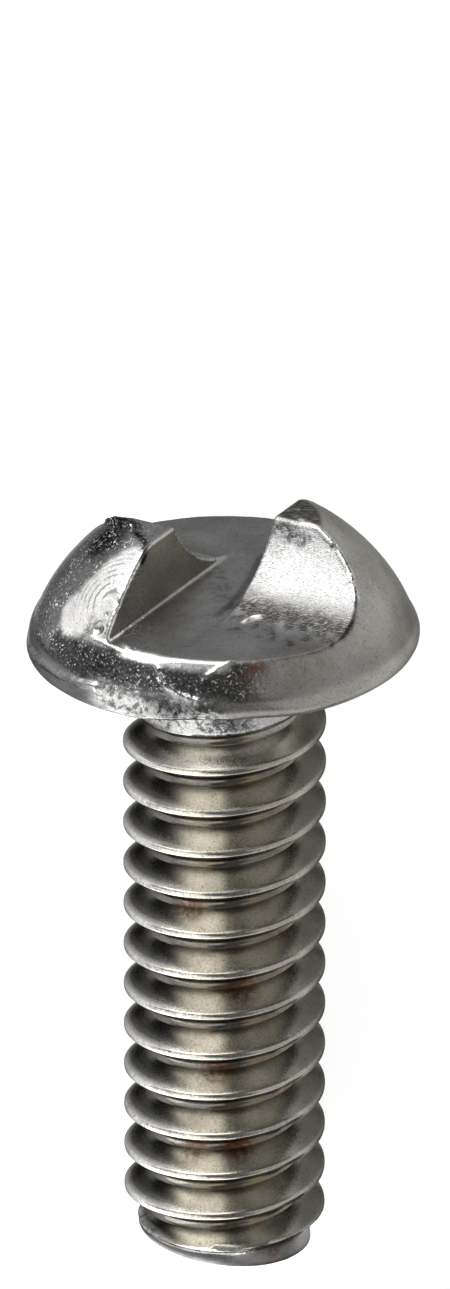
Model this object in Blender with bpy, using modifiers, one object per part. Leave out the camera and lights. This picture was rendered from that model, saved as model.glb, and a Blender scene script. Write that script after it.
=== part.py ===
"""A tamper proof (one-way) round head machine screw, lying as it comes to rest on its rim and its thread.

The screw is one piece of cold-headed, thread-rolled stainless steel. It is modelled upright and then laid
down: heights run along its axis, with 0 at the bearing face under the head, the head above it and the
shank below. Azimuths are counted counter-clockwise from +X, seen from above the head. Lengths are in
metres and angles in degrees.
"""

import math

import bmesh
import bpy
from mathutils import Matrix, Vector

# Turned blank: the head
HEAD_RADIUS = 0.00457
HEAD_HEIGHT = 0.00309
TOP_RADIUS = 0.00223
RIM_THICKNESS = 0.00056
RIM_BULGE = 0.0001

# Turned blank: the neck and the shank
SHANK_LENGTH = 0.0152
NECK_RADIUS = 0.00207
NECK_LENGTH = 0.00152
NECK_CONE_LENGTH = 0.0004
NECK_FILLET = 0.00022
END_RADIUS = 0.00192
END_CHAMFER_ANGLE = 30.0

# Right-hand unified coarse thread, number 10 with 24 threads to the inch
THREAD_RADIUS = 0.002385
THREAD_PITCH = 0.0254 / 24
THREAD_HALF_ANGLE = 30.0
CREST_FLAT = THREAD_PITCH / 8
THREAD_DEPTH = 0.6134 * THREAD_PITCH

# The groove between the threads passes this height at this azimuth, and rises out of the neck behind it
GROOVE_HEIGHT = -0.00174
GROOVE_AZIMUTH = 270.0
RUN_OUT_START = 380.0
RUN_OUT_END = 520.0

# One-way recess: two opposite horns, each with a wall that drives and a ramp that slips
FLOOR_HEIGHT = 0.00138
FLOOR_EDGE_ROUNDING = 0.00035
WALL_OFFSET = 0.000855
WALL_AZIMUTH = 60.0
RAMP_RADIUS = 0.00336
RAMP_SETBACK = 0.0021
RAMP_DIP = 0.00002

# How far a cutter reaches past what it cuts
CLEARANCE = 0.0005
MOUTH_CLEARANCE = 0.00005

# Facets
SEGMENTS = 34
DOME_STEPS = 9
RIM_STEPS = 6
ROUNDING_STEPS = 5
FILLET_STEPS = 6
RAMP_STEPS = 14

STEEL_COLOUR = (0.60, 0.585, 0.555, 1.0)
STEEL_ROUGHNESS = 0.27
SMOOTH_BELOW = 17.0
SAME_POINT = 0.0000001


def clear_scene():
    for item in list(bpy.data.objects):
        bpy.data.objects.remove(item, do_unlink=True)


def new_collection(name):
    collection = bpy.data.collections.new(name)
    bpy.context.scene.collection.children.link(collection)
    return collection


def steel():
    material = bpy.data.materials.new("stainless_steel")
    material.use_nodes = True
    shader = material.node_tree.nodes["Principled BSDF"]
    shader.inputs["Base Color"].default_value = STEEL_COLOUR
    shader.inputs["Metallic"].default_value = 1.0
    shader.inputs["Roughness"].default_value = STEEL_ROUGHNESS
    return material


def tangent(angle):
    return math.tan(math.radians(angle))


def arc(centre, radius, start, end, steps):
    """Points along an arc in a plane, from one angle to another."""
    points = []
    for step in range(steps + 1):
        angle = math.radians(start + (end - start) * step / steps)
        points.append((centre[0] + radius * math.cos(angle), centre[1] + radius * math.sin(angle)))
    return points


def dome_circle():
    """Centre height and radius of the dome, which runs about the axis from the top's edge to the crease."""
    crease_radius = HEAD_RADIUS - RIM_BULGE
    difference = TOP_RADIUS**2 + HEAD_HEIGHT**2 - crease_radius**2 - RIM_THICKNESS**2
    centre_height = difference / (2 * (HEAD_HEIGHT - RIM_THICKNESS))
    return centre_height, math.hypot(TOP_RADIUS, HEAD_HEIGHT - centre_height)


def head_profile():
    """From the flat top down the dome to the crease, and round the rim to the bearing face."""
    centre_height, dome_radius = dome_circle()
    top_angle = math.degrees(math.atan2(HEAD_HEIGHT - centre_height, TOP_RADIUS))
    crease_angle = math.degrees(math.atan2(RIM_THICKNESS - centre_height, HEAD_RADIUS - RIM_BULGE))
    dome = arc((0.0, centre_height), dome_radius, top_angle, crease_angle, DOME_STEPS)
    half = RIM_THICKNESS / 2
    rim_radius = (half**2 + RIM_BULGE**2) / (2 * RIM_BULGE)
    rim_angle = math.degrees(math.atan2(half, rim_radius - RIM_BULGE))
    rim = arc((HEAD_RADIUS - rim_radius, half), rim_radius, rim_angle, -rim_angle, RIM_STEPS)
    return [(0.0, HEAD_HEIGHT)] + dome + rim[1:]


def shank_profile():
    """From the bearing face down the filleted neck, out to the crest and in along the end's chamfer."""
    chamfer_height = (THREAD_RADIUS - END_RADIUS) / tangent(END_CHAMFER_ANGLE)
    fillet = arc((NECK_RADIUS + NECK_FILLET, -NECK_FILLET), NECK_FILLET, 90, 180, FILLET_STEPS)
    return fillet + [
        (NECK_RADIUS, -NECK_LENGTH),
        (THREAD_RADIUS, -NECK_LENGTH - NECK_CONE_LENGTH),
        (THREAD_RADIUS, -SHANK_LENGTH + chamfer_height),
        (END_RADIUS, -SHANK_LENGTH),
        (0.0, -SHANK_LENGTH),
    ]


def outline_object(name, points, collection, closed=False):
    """A wire in the XZ plane, at +X, that a Screw modifier turns about Z."""
    edges = [(i, i + 1) for i in range(len(points) - 1)]
    if closed:
        edges.append((len(points) - 1, 0))
    mesh = bpy.data.meshes.new(name)
    mesh.from_pydata([(radius, 0.0, height) for radius, height in points], edges, [])
    item = bpy.data.objects.new(name, mesh)
    collection.objects.link(item)
    return item


def turn(item, turns=1, rise=0.0):
    """Turns an outline about the axis, rising by a pitch in each turn."""
    screw = item.modifiers.new("turn", "SCREW")
    screw.axis = "Z"
    screw.angle = math.tau
    screw.iterations = turns
    screw.screw_offset = rise
    screw.steps = SEGMENTS
    screw.render_steps = SEGMENTS
    screw.use_merge_vertices = rise == 0.0
    screw.merge_threshold = SAME_POINT
    return item


def cut(item, cutter):
    """Cuts one item with another, which then moves with it."""
    boolean = item.modifiers.new("cut_" + cutter.name, "BOOLEAN")
    boolean.object = cutter
    cutter.parent = item
    return item


def as_cutter(item):
    item.hide_render = True
    item.display_type = "WIRE"
    return item


def finished_bmesh(item):
    """The item's shape with its modifiers applied. The item itself is removed."""
    bpy.context.view_layer.update()
    graph = bpy.context.evaluated_depsgraph_get()
    mesh = bpy.data.meshes.new_from_object(item.evaluated_get(graph))
    mesh.transform(item.matrix_world)
    shape = bmesh.new()
    shape.from_mesh(mesh)
    bpy.data.meshes.remove(mesh)
    bpy.data.objects.remove(item, do_unlink=True)
    bmesh.ops.remove_doubles(shape, verts=shape.verts, dist=SAME_POINT)
    return shape


def mesh_object(name, shape, collection):
    bmesh.ops.recalc_face_normals(shape, faces=shape.faces)
    mesh = bpy.data.meshes.new(name)
    shape.to_mesh(mesh)
    shape.free()
    item = bpy.data.objects.new(name, mesh)
    collection.objects.link(item)
    return item


def groove_section():
    """The groove's section about its own middle: a flat root, two flanks and a mouth just past the crest."""
    slope = tangent(THREAD_HALF_ANGLE)
    root_half = (THREAD_PITCH - CREST_FLAT) / 2 - THREAD_DEPTH * slope
    mouth_half = root_half + (THREAD_DEPTH + MOUTH_CLEARANCE) * slope
    root_radius = THREAD_RADIUS - THREAD_DEPTH
    mouth_radius = THREAD_RADIUS + MOUTH_CLEARANCE
    return [
        (mouth_radius, mouth_half),
        (mouth_radius, -mouth_half),
        (root_radius, -root_half),
        (root_radius, root_half),
    ]


def groove_middle(azimuth):
    """Height of the middle of the groove, a right-hand helix, at an azimuth that goes on past 360."""
    return GROOVE_HEIGHT + THREAD_PITCH * (azimuth - GROOVE_AZIMUTH) / 360


def raise_run_out(shape):
    """Lifts the cutter out of the neck along its last turn, so that the groove fades there."""
    for vert in shape.verts:
        azimuth = math.degrees(math.atan2(vert.co.y, vert.co.x))
        turns_up = round((vert.co.z - groove_middle(azimuth)) / THREAD_PITCH)
        share = min((azimuth + 360 * turns_up - RUN_OUT_START) / (RUN_OUT_END - RUN_OUT_START), 1.0)
        if share > 0:
            radius = vert.co.xy.length
            vert.co.xy *= (radius + THREAD_DEPTH * share**2) / radius


def thread_groove(collection):
    """The helical cutter of the thread, from past the shank's end to behind the neck."""
    last_azimuth = 360 * math.ceil(RUN_OUT_END / 360)
    turns = math.ceil((groove_middle(last_azimuth) + SHANK_LENGTH) / THREAD_PITCH) + 1
    bottom = groove_middle(last_azimuth - 360 * turns)
    section = [(radius, height + bottom) for radius, height in groove_section()]
    guide = outline_object("groove_guide", section, collection, closed=True)
    shape = finished_bmesh(turn(guide, turns, THREAD_PITCH))
    bmesh.ops.holes_fill(shape, edges=[edge for edge in shape.edges if edge.is_boundary])
    raise_run_out(shape)
    return as_cutter(mesh_object("thread_groove", shape, collection))


def horn_outline():
    """A horn seen along its drive wall's normal: the concave ramp, and the rest well past the head."""
    ramp_foot = FLOOR_HEIGHT - RAMP_DIP
    bottom = ramp_foot - 2 * CLEARANCE
    top = HEAD_HEIGHT + 2 * CLEARANCE
    reach = HEAD_RADIUS + 2 * CLEARANCE
    ramp_end = math.degrees(math.acos(1 - (top - ramp_foot) / RAMP_RADIUS)) - 90
    ramp = arc((-RAMP_SETBACK, ramp_foot + RAMP_RADIUS), RAMP_RADIUS, -90, ramp_end, RAMP_STEPS)
    return ramp + [(reach, top), (reach, bottom), (-RAMP_SETBACK, bottom)]


def horn(name, azimuth, collection):
    """A prism that stands for one horn, from its drive wall outwards."""
    width = HEAD_RADIUS + 2 * CLEARANCE - WALL_OFFSET
    curve = bpy.data.curves.new(name, "CURVE")
    curve.dimensions = "2D"
    curve.fill_mode = "BOTH"
    curve.extrude = width / 2
    outline = horn_outline()
    spline = curve.splines.new("POLY")
    spline.points.add(len(outline) - 1)
    for point, (along, height) in zip(spline.points, outline):
        point.co = (along, height, 0.0, 1.0)
    spline.use_cyclic_u = True
    guide = bpy.data.objects.new(name + "_guide", curve)
    collection.objects.link(guide)
    upright = Matrix.Rotation(math.radians(90), 4, "X")
    outwards = Matrix.Translation((0.0, -WALL_OFFSET - width / 2, 0.0))
    guide.matrix_world = Matrix.Rotation(math.radians(azimuth), 4, "Z") @ outwards @ upright
    return as_cutter(mesh_object(name, finished_bmesh(guide), collection))


def slab_profile():
    """What is cut from the dome above the floor, rounded into the dome all round."""
    centre_height, dome_radius = dome_circle()
    rounding_height = FLOOR_HEIGHT - FLOOR_EDGE_ROUNDING
    sine = (rounding_height - centre_height) / (dome_radius - FLOOR_EDGE_ROUNDING)
    angle = math.asin(sine)
    rounding_radius = (dome_radius - FLOOR_EDGE_ROUNDING) * math.cos(angle)
    rounding = arc(
        (rounding_radius, rounding_height), FLOOR_EDGE_ROUNDING, math.degrees(angle), 90, ROUNDING_STEPS
    )
    out_radius = rounding[0][0] + CLEARANCE * sine
    out_height = rounding[0][1] - CLEARANCE * math.cos(angle)
    reach = HEAD_RADIUS + CLEARANCE
    top = HEAD_HEIGHT + CLEARANCE
    outside = [(0.0, top), (reach, top), (reach, out_height), (out_radius, out_height)]
    return outside + rounding + [(0.0, FLOOR_HEIGHT)]


def recess(collection):
    """All that is cut from the dome above the floor, less the two horns."""
    slab = as_cutter(turn(outline_object("recess", slab_profile(), collection)))
    cut(slab, horn("horn_right", WALL_AZIMUTH, collection))
    return cut(slab, horn("horn_left", WALL_AZIMUTH + 180, collection))


def finish(screw):
    """Applies the cuts, and shades the screw smooth but for its edges."""
    bpy.context.view_layer.update()
    graph = bpy.context.evaluated_depsgraph_get()
    mesh = bpy.data.meshes.new_from_object(screw.evaluated_get(graph))
    mesh.shade_smooth()
    mesh.set_sharp_from_angle(angle=math.radians(SMOOTH_BELOW))
    screw.modifiers.clear()
    screw.data = mesh


def rest_tilt(points):
    """How far the axis leans when both the head's rim and the thread touch the floor below +Y."""
    head = [point for point in points if point.z > 0]
    shank = [point for point in points if point.z < 0]

    def reach(group, tilt):
        return max(point.y * math.cos(tilt) - point.z * math.sin(tilt) for point in group)

    low, high = 0.0, math.pi / 4
    for _ in range(40):
        middle = (low + high) / 2
        if reach(head, middle) > reach(shank, middle):
            low = middle
        else:
            high = middle
    return low


def lay_down(screw, collection):
    """Parents the screw to an empty that lays it on the floor, head towards +Y, centred over the origin."""
    points = [vert.co.copy() for vert in screw.data.vertices]
    tilt = rest_tilt(points)
    turned = Matrix.Rotation(tilt - math.pi / 2, 4, "X")
    placed = [turned @ point for point in points]
    low = Vector([min(point[axis] for point in placed) for axis in range(3)])
    high = Vector([max(point[axis] for point in placed) for axis in range(3)])
    rest = bpy.data.objects.new("rest_pose", None)
    collection.objects.link(rest)
    rest.rotation_euler = (tilt - math.pi / 2, 0.0, 0.0)
    rest.location = (-(low.x + high.x) / 2, -(low.y + high.y) / 2, -low.z)
    screw.parent = rest


def build():
    clear_scene()
    product = new_collection("tamper_proof_machine_screw")
    cutters = new_collection("cutters")
    screw = turn(outline_object("machine_screw", head_profile() + shank_profile(), product))
    cut(screw, recess(cutters))
    cut(screw, thread_groove(cutters))
    finish(screw)
    screw.data.materials.append(steel())
    lay_down(screw, product)


build()
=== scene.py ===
import math

import bmesh
import bpy
import numpy as np
from mathutils import Matrix, Vector, noise


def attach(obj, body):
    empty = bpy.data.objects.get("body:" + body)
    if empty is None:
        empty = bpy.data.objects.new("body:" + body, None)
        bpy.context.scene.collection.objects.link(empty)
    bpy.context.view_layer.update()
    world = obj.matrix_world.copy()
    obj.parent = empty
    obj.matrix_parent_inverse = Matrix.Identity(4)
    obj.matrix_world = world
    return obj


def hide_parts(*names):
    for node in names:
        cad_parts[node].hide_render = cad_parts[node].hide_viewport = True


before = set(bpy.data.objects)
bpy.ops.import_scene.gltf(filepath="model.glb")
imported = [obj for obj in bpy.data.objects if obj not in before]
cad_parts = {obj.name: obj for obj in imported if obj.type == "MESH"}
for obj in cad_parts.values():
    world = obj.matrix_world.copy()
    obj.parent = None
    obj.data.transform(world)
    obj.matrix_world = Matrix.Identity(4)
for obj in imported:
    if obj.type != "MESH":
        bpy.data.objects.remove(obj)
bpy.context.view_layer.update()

# The screw is made upright, in millimetres: heights run along its axis from the bearing face under the
# head, X runs to the right in the photograph and Y away from its camera. Then it is laid on the floor.
MM = 0.001

# How it lies: its axis rises by this angle towards the head, and the middle of the bearing face is here
REST_TILT = 8.4464
BEARING_FACE = (0.0, 6.0308, 4.4634)

# The photograph in pixels: its size, and where it shows the screw's axis, the bearing face, the lowest of
# the head and the highest of the end's band
PICTURE_WIDTH = 450
PICTURE_HEIGHT = 1289
AXIS_PIXEL = 224.5
BEARING_PIXEL = 641.8
HEAD_BOTTOM_PIXEL = 720
END_TOP_PIXEL = 1230

# Its camera: the angle by which it looks down on the head, its scale, its lens and sensor in millimetres,
# and how near and how far it sees in metres
LOOK_DOWN = 25.2
MM_PER_PIXEL = 0.02337
LENS = 400.0
SENSOR = 36.0
NEAREST_SEEN = 0.01
FARTHEST_SEEN = 10.0

# Head
HEAD_RADIUS = 4.57
HEAD_HEIGHT = 3.09
TOP_RADIUS = 2.23
RIM_THICKNESS = 0.56
RIM_BULGE = 0.10
CREASE_FILLET = 0.05

# The bearing face slopes, and its edge is rounder on the right and at the front
BEARING_SLOPE = 0.024
BEARING_EDGE = 0.18
BEARING_EDGE_RIGHT = 0.12
BEARING_EDGE_FRONT = 0.3

# One-way recess
FLOOR_HEIGHT = 1.38
FLOOR_EDGE = 0.19
WALL_OFFSET = 0.855
WALL_AZIMUTH = 60.0
WALL_EDGE = 0.09
RAMP_RADIUS = 3.36
RAMP_SETBACK = 2.1
RAMP_DIP = 0.02
RAMP_FOOT = FLOOR_HEIGHT - RAMP_DIP
RAMP_EDGE = 0.05
TOP_EDGE = 0.05
RECESS_FILLET = 0.06

# Shank and thread
SHANK_LENGTH = 15.2
NECK_RADIUS = 2.07
NECK_LENGTH = 1.52
NECK_CONE = 0.4
NECK_FILLET = 0.22
THREAD_RADIUS = 2.385
PITCH = 25.4 / 24
CREST_FLAT = PITCH / 8
THREAD_DEPTH = 0.6134 * PITCH
ROOT_RADIUS = THREAD_RADIUS - THREAD_DEPTH
FLANK = math.tan(math.radians(30.0))
GROOVE_HEIGHT = -1.74
GROOVE_AZIMUTH = 270.0
RUN_OUT_START = 380.0
RUN_OUT_END = 520.0
CREST_EDGE = 0.06
ROOT_ROUND = 0.05

# The sheared end: it leans, and a band without thread runs along it, higher on the right
END_RADIUS = 2.05
END_CHAMFER = 45.0
END_SLOPE = 0.11
END_DROP = 0.18
BAND_HEIGHT = 0.33
BAND_SLOPE = 0.10

# Fineness of the two meshes, and the room round the head and below it where its surface is looked for
HEAD_STEP = 0.062
HEAD_MARGIN = 0.15
BELOW_HEAD = 0.2
TURN_STEPS = 104
MERGE_REACH = 0.0005
SHARP_ANGLE = 50.0

# The strip that makes the shank: how far it reaches into the head, the turns that it has there and past
# the end, the pitches over which it closes the end, and the share of the radius that it leaves open
INSIDE_HEAD = 0.04
TURNS_IN_HEAD = 1.1
TURNS_PAST_END = 2.8
CLOSING_PITCHES = 1.6
END_HOLE = 0.015

# Lumps of the surface: size, height and offset of the noise
HEAD_LUMPS = ((0.9, 0.008, 0.0), (0.3, 0.004, 5.0))
ROUGH_RIM_LUMPS = ((0.3, 0.05, 9.0), (0.13, 0.02, 2.0))
PITTED_LUMPS = ((0.13, 0.014, 3.0),)

# Dents and pits of the head: place in the photograph in pixels, radius and depth
DENTS = {
    "round dent": ((100, 629), 0.18, 0.07),
    "pit above the dent": ((108, 615), 0.07, 0.03),
    "pit beside it": ((119, 612), 0.07, 0.03),
    "pit to the left": ((94, 617), 0.06, 0.025),
    "pit at the wall": ((119, 603), 0.08, 0.04),
    "pitted top of the ramp": ((284, 531), 0.30, 0.015),
    "pit in it": ((279, 527), 0.09, 0.015),
    "second pit in it": ((288, 532), 0.08, 0.015),
    "notch of the ramp's edge": ((333, 548), 0.10, 0.06),
    "lower notch of the edge": ((350, 585), 0.09, 0.04),
    "hollow of the rim": ((292, 668), 0.45, 0.02),
}

# Dents that are painted dark inside, as painted shade in their hollows
DARK_DENTS = (
    "round dent",
    "pit above the dent",
    "pit beside it",
    "pit at the wall",
    "notch of the ramp's edge",
)

# Folds and raised lines of the head: corners in the photograph, width and rise
FOLDS = {
    "line into the lip": (((78, 632), (100, 642), (124, 651)), 0.09, 0.035),
    "nick across the lip": (((124, 641), (132, 652)), 0.07, 0.03),
    "fold from the lip": (((156, 664), (162, 676), (167, 685)), 0.08, 0.04),
    "fold to the rim": (((165, 684), (180, 694), (203, 703)), 0.10, 0.045),
    "scratch": (((204, 678), (218, 669), (231, 661)), 0.08, 0.035),
    "lip of the rim": (((32, 650), (44, 663), (62, 675), (82, 683), (96, 686)), 0.12, 0.09),
    "edge of the ramp": (((300, 520), (318, 528), (335, 546), (349, 571), (356, 598)), 0.09, 0.02),
    "nick at the ramp's foot": (((244, 622), (253, 617), (261, 616)), 0.09, 0.045),
    "crease on the right": (((330, 643), (352, 636), (372, 622)), 0.12, 0.012),
}

# Folds that are worn bright, and painted brighter still as highlights along their raised lines
BRIGHT_FOLDS = (
    "line into the lip",
    "fold from the lip",
    "fold to the rim",
    "scratch",
    "lip of the rim",
    "nick at the ramp's foot",
    "edge of the ramp",
)

# Dark lines of the head, painted shade behind the burr and a painted shadow left of the ramp's foot: corners
# in the photograph and strength
DARK_LINES = {
    "shade along the edge behind the burr": (((124, 525), (137, 533), (146, 544), (143, 562)), 1.0),
    "shadow left of the ramp's foot": (((218, 615), (229, 606), (240, 594), (250, 578), (262, 556)), 0.45),
}
DARK_LINE_WIDTH = 0.14

# The burr along the left horn's top and the way that it leans, and the place below it where shade is painted
BURR_LINE = ((103, 523), (112, 521), (124, 523), (135, 528))
BURR_WIDTH = 0.22
BURR_RISE = 0.13
BURR_LEAN = (-0.45, -0.1, 0.85)
BELOW_BURR = (108, 541)
BELOW_BURR_REACH = 0.9

# Where the left of the dome is polished: place in the photograph and radius
POLISHED_SPOTS = {
    "low": ((78, 613), 0.80),
    "middle": ((97, 596), 0.85),
    "high": ((116, 576), 0.80),
    "top": ((130, 562), 0.60),
    "at the wall": ((110, 620), 0.75),
    "end of the lip": ((128, 642), 0.4),
}

# The pitted band below the polished patch, along the front of the dome
PITTED_BAND = ((60, 648), (72, 657), (88, 666), (140, 680), (200, 684), (262, 680))
PITTED_WIDTH = 0.62

# The bright lip of the recess, the scratches on its floor, and the pitted top of the right ramp
RECESS_LIP = ((126, 650), (160, 659), (196, 664), (222, 664))
RECESS_LIP_WIDTH = 0.26
SCRATCHED_FLOOR = ((214, 572), (236, 608))
SCRATCHED_WIDTH = 0.5
RAMP_PITS = ((280, 530), (303, 537))
RAMP_PITS_WIDTH = 0.38

# The forging's rings on the polished patch: their common centre in the photograph, their spacing and how
# far they waver, and the middle of the part where they show and its radius
RING_CENTRE = (132, 613)
RING_SPACING = 0.105
RING_WAVER = 0.12
RING_MIDDLE = (106, 580)
RING_REACH = 1.35

# Brown stains, and one faint brown patch of painted shade in the rim's hollow: place in the photograph,
# radius and strength
STAINS_AND_SHADE = {
    "rim": ((256, 667), 0.36, 0.8),
    "rim, lower": ((245, 676), 0.25, 0.5),
    # Painted shade in the hollow at the front of the rim, made as a faint brown patch
    "painted shade in the rim's hollow": ((302, 662), 0.9, 0.18),
    "first root": ((190, 908), 0.6, 0.8),
    "second root": ((280, 944), 0.5, 0.9),
    "third root": ((238, 992), 0.7, 0.9),
    "fourth root": ((215, 1075), 0.6, 0.8),
    "fifth root": ((238, 1153), 0.6, 1.0),
    "sixth root": ((288, 1098), 0.4, 0.55),
    "seventh root": ((196, 1157), 0.5, 0.7),
    "chips of the end": ((275, 1259), 0.26, 1.0),
}

# Each zone's reflectance and roughness
ZONES = {
    "thread": (0.47, 0.20),
    # Painted highlight: the threads left of the middle are brighter
    "thread, left of the middle": (0.60, 0.20),
    # Painted shade: the threads are darker at the far right and the far left
    "thread, far right": (0.10, 0.30),
    "thread, far left": (0.05, 0.28),
    "crest": (0.38, 0.13),
    # Painted highlight: the crests on the left are brighter
    "crest, left": (0.60, 0.13),
    # Painted shade: darker in the thread's roots
    "root": (0.16, 0.15),
    "neck": (0.45, 0.20),
    # Painted shade: the end's band is darker on the left than on the right
    "end band": (0.05, 0.40),
    "end band, right": (0.45, 0.40),
    "end": (0.20, 0.42),
    "edge of the band": (0.60, 0.18),
    "underside": (0.62, 0.15),
    "rim": (0.32, 0.30),
    # Painted shade: the rim is darker on the left
    "rim, left": (0.15, 0.20),
    "rim, rough": (0.62, 0.18),
    "rim, rough, right": (0.24, 0.18),
    "right dome": (0.32, 0.42),
    "right dome, low": (0.24, 0.42),
    "far dome": (0.17, 0.42),
    # Painted shade: the dome is darker on the left and at its left edge
    "left dome": (0.16, 0.20),
    "left edge": (0.17, 0.20),
    "polished": (0.70, 0.16),
    "pitted": (0.09, 0.20),
    "pitted, left": (0.05, 0.20),
    # Painted shade in the crease above the rim
    "crease": (0.06, 0.30),
    # Partly wear, partly painted highlight along the raised folds
    "bright folds": (0.75, 0.14),
    "lip of the recess": (0.85, 0.30),
    # Painted shade below the burr
    "below the burr": (0.05, 0.22),
    # Painted shade inside the dents
    "dark dents": (0.06, 0.25),
    # Painted shade and painted shadow along lines of the head
    "dark lines": (0.03, 0.25),
    # Painted shade: the recess's floor is darker
    "recess floor": (0.165, 0.42),
    "drive wall": (0.66, 0.32),
    # Painted shade at the foot of the ramps
    "ramp foot": (0.05, 0.22),
    "ramp": (0.36, 0.17),
    "ramp's pits": (0.25, 0.22),
    "left facet": (0.18, 0.30),
    # Painted shade: the right horn's top is darker than the left one's
    "right facet": (0.08, 0.20),
    "burr": (0.06, 0.20),
    "scratched floor": (0.11, 0.34),
}

# How ragged the edges of the zones are, and how much darker the threads are painted just right of the
# middle, as painted shade
RAGGED_EDGE = 0.12
SHADE_RIGHT_OF_MIDDLE = 0.15

# Hues of the steel: plain, warm, tinted in the roots, and the brown of the stains and of the painted shade
# in the rim's hollow. And the grey of its grazing reflections.
PLAIN_HUE = (1.0, 0.99, 0.98, 1.0)
WARM_HUE = (1.03, 0.99, 0.87, 1.0)
ROOT_TINT = (0.24, 0.17, 0.08, 1.0)
STAIN_AND_SHADE_COLOUR = (0.13, 0.055, 0.018, 1.0)
GRAZING_GREY = 0.3

# Noises of the steel: size in millimetres and detail. The streaks run across the shank.
NOISES = {
    "cloud": (1.1, 3.0),
    "grain": (0.05, 4.0),
    "speck": (0.14, 3.0),
    "sparkle": (0.06, 3.0),
    "patches": (0.4, 2.0),
}
STREAKS = (0.16, 4.0)
STREAK_SQUEEZE = (1.0, 6.0, 6.0)

# Cells of the steel for each millimetre
CELLS = {"flecks": 9.0, "dots": 3.4}

# Relief of the steel: its pattern, the mask that it shows in, and its height in thousandths of a millimetre
RELIEF = (
    ("grain", None, 1.6),
    ("speck", "pitted", 9.0),
    ("flecks", "pitted", 9.0),
    ("speck", "rough", 20.0),
    ("streaks", "wrinkled", 14.0),
    ("streaks", "brushed", 4.0),
    ("rings", "forged", 3.0),
    ("streaks", "ramp", 9.0),
)

# Floor: how far below the screw it lies, so that nothing clips, its half width in metres, its grey, its
# glow, and the roughness that the dark panels have too
FLOOR_DROP = 0.08
FLOOR_REACH = 1.0
FLOOR_GREY = 0.4
FLOOR_GLOW = 0.83
MATT = 0.9

# Panels that stand on the floor beyond the picture's top and bottom edges, in millimetres: lit ones on the
# left, which are the key lights, and dark ones on the right. Each pair has its distance, the place of the
# edge between the two, their width and height, and the brightness of the lit one.
PANELS = {
    "top": (30.0, 0.0, 26.0, 26.0, 2.8),
    "bottom": (-12.5, 1.35, 20.0, 7.0, 3.2),
}
DARK_PANEL_GREY = 0.22

# The studio's walls and screens: the azimuths and elevations that each spans, how soft its edges are, all
# in degrees, and how bright it is
STUDIO_LEVEL = 0.8
STUDIO_SCREENS = {
    "right wall": (45, 200, -90, 90, 12, 0.85),
    "left wall": (-140, -82, 5, 62, 10, 1.4),
    "left gap": (-82, -62, -10, 28, 5, 0.3),
    "high left": (-62, 0, 33, 78, 8, 0.4),
    "above": (-200, 200, 66, 100, 8, 0.25),
    "dark screen": (2, 40, -10, 78, 7, 0.28),
    "camera side, left": (-200, -125, 42, 90, 8, 0.15),
    "camera side, right": (125, 200, 42, 90, 8, 0.25),
    "front strip, left": (-200, -120, 8, 34, 8, 2.4),
    "upper strip, left": (-180, -118, 34, 54, 8, 1.7),
    "front strip, right": (130, 200, 8, 34, 8, 1.2),
}


def rounded_corner(a, b, radius):
    """Where both distances are inside, with the edge between them rounded."""
    outside = np.hypot(np.maximum(a + radius, 0.0), np.maximum(b + radius, 0.0))
    return np.minimum(np.maximum(a, b), -radius) + outside


def filleted_join(a, b, radius):
    """Where either distance is inside, with a fillet between them."""
    return -rounded_corner(-a, -b, radius)


def softer_minimum(a, b, reach):
    """The smaller of two, rounded off where they differ by less than the reach."""
    near = np.maximum(reach - np.abs(a - b), 0.0) / reach
    return np.minimum(a, b) - near**2 * reach / 4


def share(value, low, high):
    """0 below low and 1 above high, smooth between them."""
    t = np.clip((value - low) / (high - low), 0.0, 1.0)
    return t * t * (3.0 - 2.0 * t)


def dome_circle():
    """Centre height and radius of the dome, from the top's edge to the crease above the rim."""
    crease_radius = HEAD_RADIUS - RIM_BULGE
    difference = TOP_RADIUS**2 + HEAD_HEIGHT**2 - crease_radius**2 - RIM_THICKNESS**2
    centre = difference / (2 * (HEAD_HEIGHT - RIM_THICKNESS))
    return centre, math.hypot(TOP_RADIUS, HEAD_HEIGHT - centre)


DOME_CENTRE, DOME_RADIUS = dome_circle()


def along_and_across(x, y, turned):
    """Position along a drive wall and away from it, for the horn at this azimuth."""
    a = math.radians(turned)
    return x * math.cos(a) + y * math.sin(a), x * math.sin(a) - y * math.cos(a)


def ramp_arc(along, z):
    """Height above a ramp's hollow arc, square to it."""
    return RAMP_RADIUS - np.hypot(along + RAMP_SETBACK, z - RAMP_FOOT - RAMP_RADIUS)


def horn_distance(x, y, z, turned):
    """A horn: behind its drive wall, and under its ramp and the flat top."""
    along, across = along_and_across(x, y, turned)
    ramp = np.where(along > -RAMP_SETBACK, ramp_arc(along, z), z - RAMP_FOOT)
    under = rounded_corner(ramp, z - HEAD_HEIGHT, TOP_EDGE)
    return rounded_corner(under, WALL_OFFSET - across, RAMP_EDGE)


def recess_distance(x, y, z):
    """Distance to the metal below the recess, and the radius of the recess's edge there."""
    horns = np.minimum(horn_distance(x, y, z, WALL_AZIMUTH), horn_distance(x, y, z, WALL_AZIMUTH + 180))
    metal = filleted_join(z - FLOOR_HEIGHT, horns, RECESS_FILLET)
    _, across = along_and_across(x, y, WALL_AZIMUTH)
    near_wall = 1.0 - share(np.abs(np.abs(across) - WALL_OFFSET), 0.05, 0.3)
    horn_edge = RAMP_EDGE + (WALL_EDGE - RAMP_EDGE) * near_wall
    return metal, horn_edge + (FLOOR_EDGE - horn_edge) * share(horns, 0.0, 0.5)


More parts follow.
